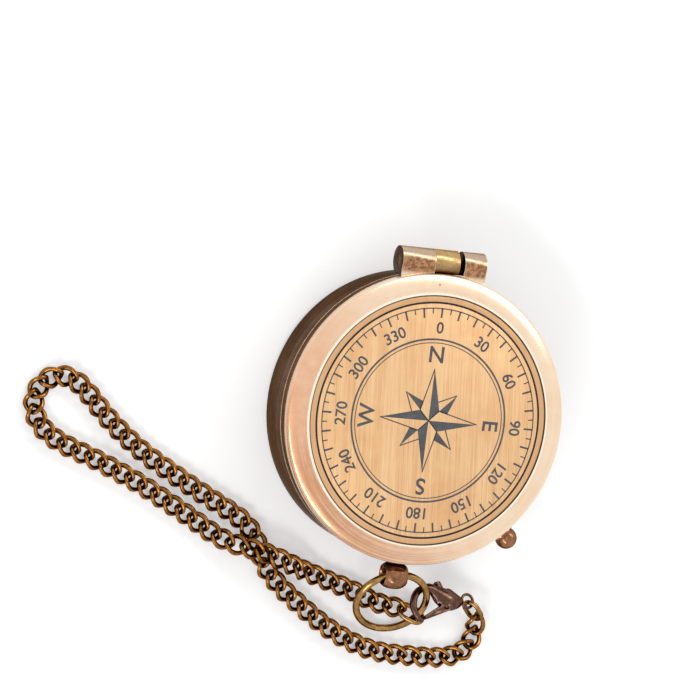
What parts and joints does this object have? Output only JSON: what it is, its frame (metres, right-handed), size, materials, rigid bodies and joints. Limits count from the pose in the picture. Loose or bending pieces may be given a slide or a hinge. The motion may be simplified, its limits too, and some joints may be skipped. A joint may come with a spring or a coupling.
{
  "type": "pocket compass",
  "caption": "Antiqued brass pocket compass with a hinged engraved lid, crown and bow ring, curb chain and lobster clasp.",
  "frame": {"origin": "centre of the case's back face, where it lies on the table", "axes": "+Z along the compass axis from the back to the lid, +Y towards the lid's hinge, -Y towards the crown and bow ring, +X to the right seen from the lid"},
  "size_m": [0.0924, 0.0736, 0.0146],
  "materials": {
    "copper_rose": "satin",
    "brass_disc": "brushed",
    "bronze_wall": "brushed",
    "copper_dark": "satin",
    "brass_yellow": "satin",
    "brass_warm": "satin",
    "bronze_fitting": "polished",
    "brass_antique": "polished",
    "copper_clasp": "satin",
    "spring_steel": "satin",
    "clear_crystal": "clear",
    "black_gasket": "matte",
    "dial_white": "matte",
    "needle_blue": "gloss",
    "jewel_red": "clear"
  },
  "bodies": {
    "case": {"case_body": "bronze_wall", "bezel_ring": "copper_dark", "crystal": "clear_crystal", "crystal_gasket": "black_gasket", "chapter_ring": "brass_warm", "dial_seat_ring": "brass_warm", "dial_plate": "dial_white", "pivot_base": "brass_warm", "pivot_pin": "spring_steel", "case_knuckle": "brass_yellow", "crown_flange": "bronze_fitting", "crown_bead": "bronze_fitting", "button_collar": "bronze_fitting", "button_spring": "spring_steel", "chain_ring_end": "brass_antique", "chain_rear_run": "brass_antique", "chain_front_run": "brass_antique", "chain_clasp_end": "brass_antique"},
    "lid": {"lid_ring": "copper_rose", "lid_disc": "brass_disc", "lid_catch": "copper_rose", "hinge_pin": "brass_yellow"},
    "needle_card": {"needle": "needle_blue", "needle_hub": "brass_warm", "hub_jewel": "jewel_red"},
    "button": {"push_button": "bronze_fitting", "button_catch": "spring_steel"},
    "bow": {"bow_ring": "brass_antique", "jump_link": "brass_antique", "clasp_link": "brass_antique", "clasp_body": "copper_clasp", "gate_pin": "copper_clasp", "gate_spring": "spring_steel"},
    "gate": {"clasp_gate": "copper_clasp"}
  },
  "joints": [
    {"name": "lid_open", "type": "hinge", "parent": "case", "child": "lid", "pos_m": [0, 0.02659, 0.0108], "axis": [-1, 0, 0], "range_deg": [0, 180]},
    {"name": "bow_swing", "type": "hinge", "parent": "case", "child": "bow", "pos_m": [0, -0.0279, 0.0073], "axis": [-1, 0, 0], "range_deg": [0, 120], "deforming": ["chain_ring_end", "chain_clasp_end"]},
    {"name": "gate_open", "type": "hinge", "parent": "bow", "child": "gate", "pos_m": [0.01189, -0.0333, 0.00404], "axis": [-0.2196, -0.343, -0.9133], "range_deg": [0, 16], "stiffness_Nm_per_rad": 0.0005, "deforming": ["gate_spring"]},
    {"name": "button_press", "type": "slide", "parent": "case", "child": "button", "axis": [-0.7071, 0.7071, 0], "range_m": [0, 0.0009], "stiffness_N_per_m": 200, "deforming": ["button_spring"]},
    {"name": "needle_spin", "type": "hinge", "parent": "case", "child": "needle_card", "pos_m": [0, 0, 0.0075], "axis": [0, 0, 1], "continuous": true}
  ]
}
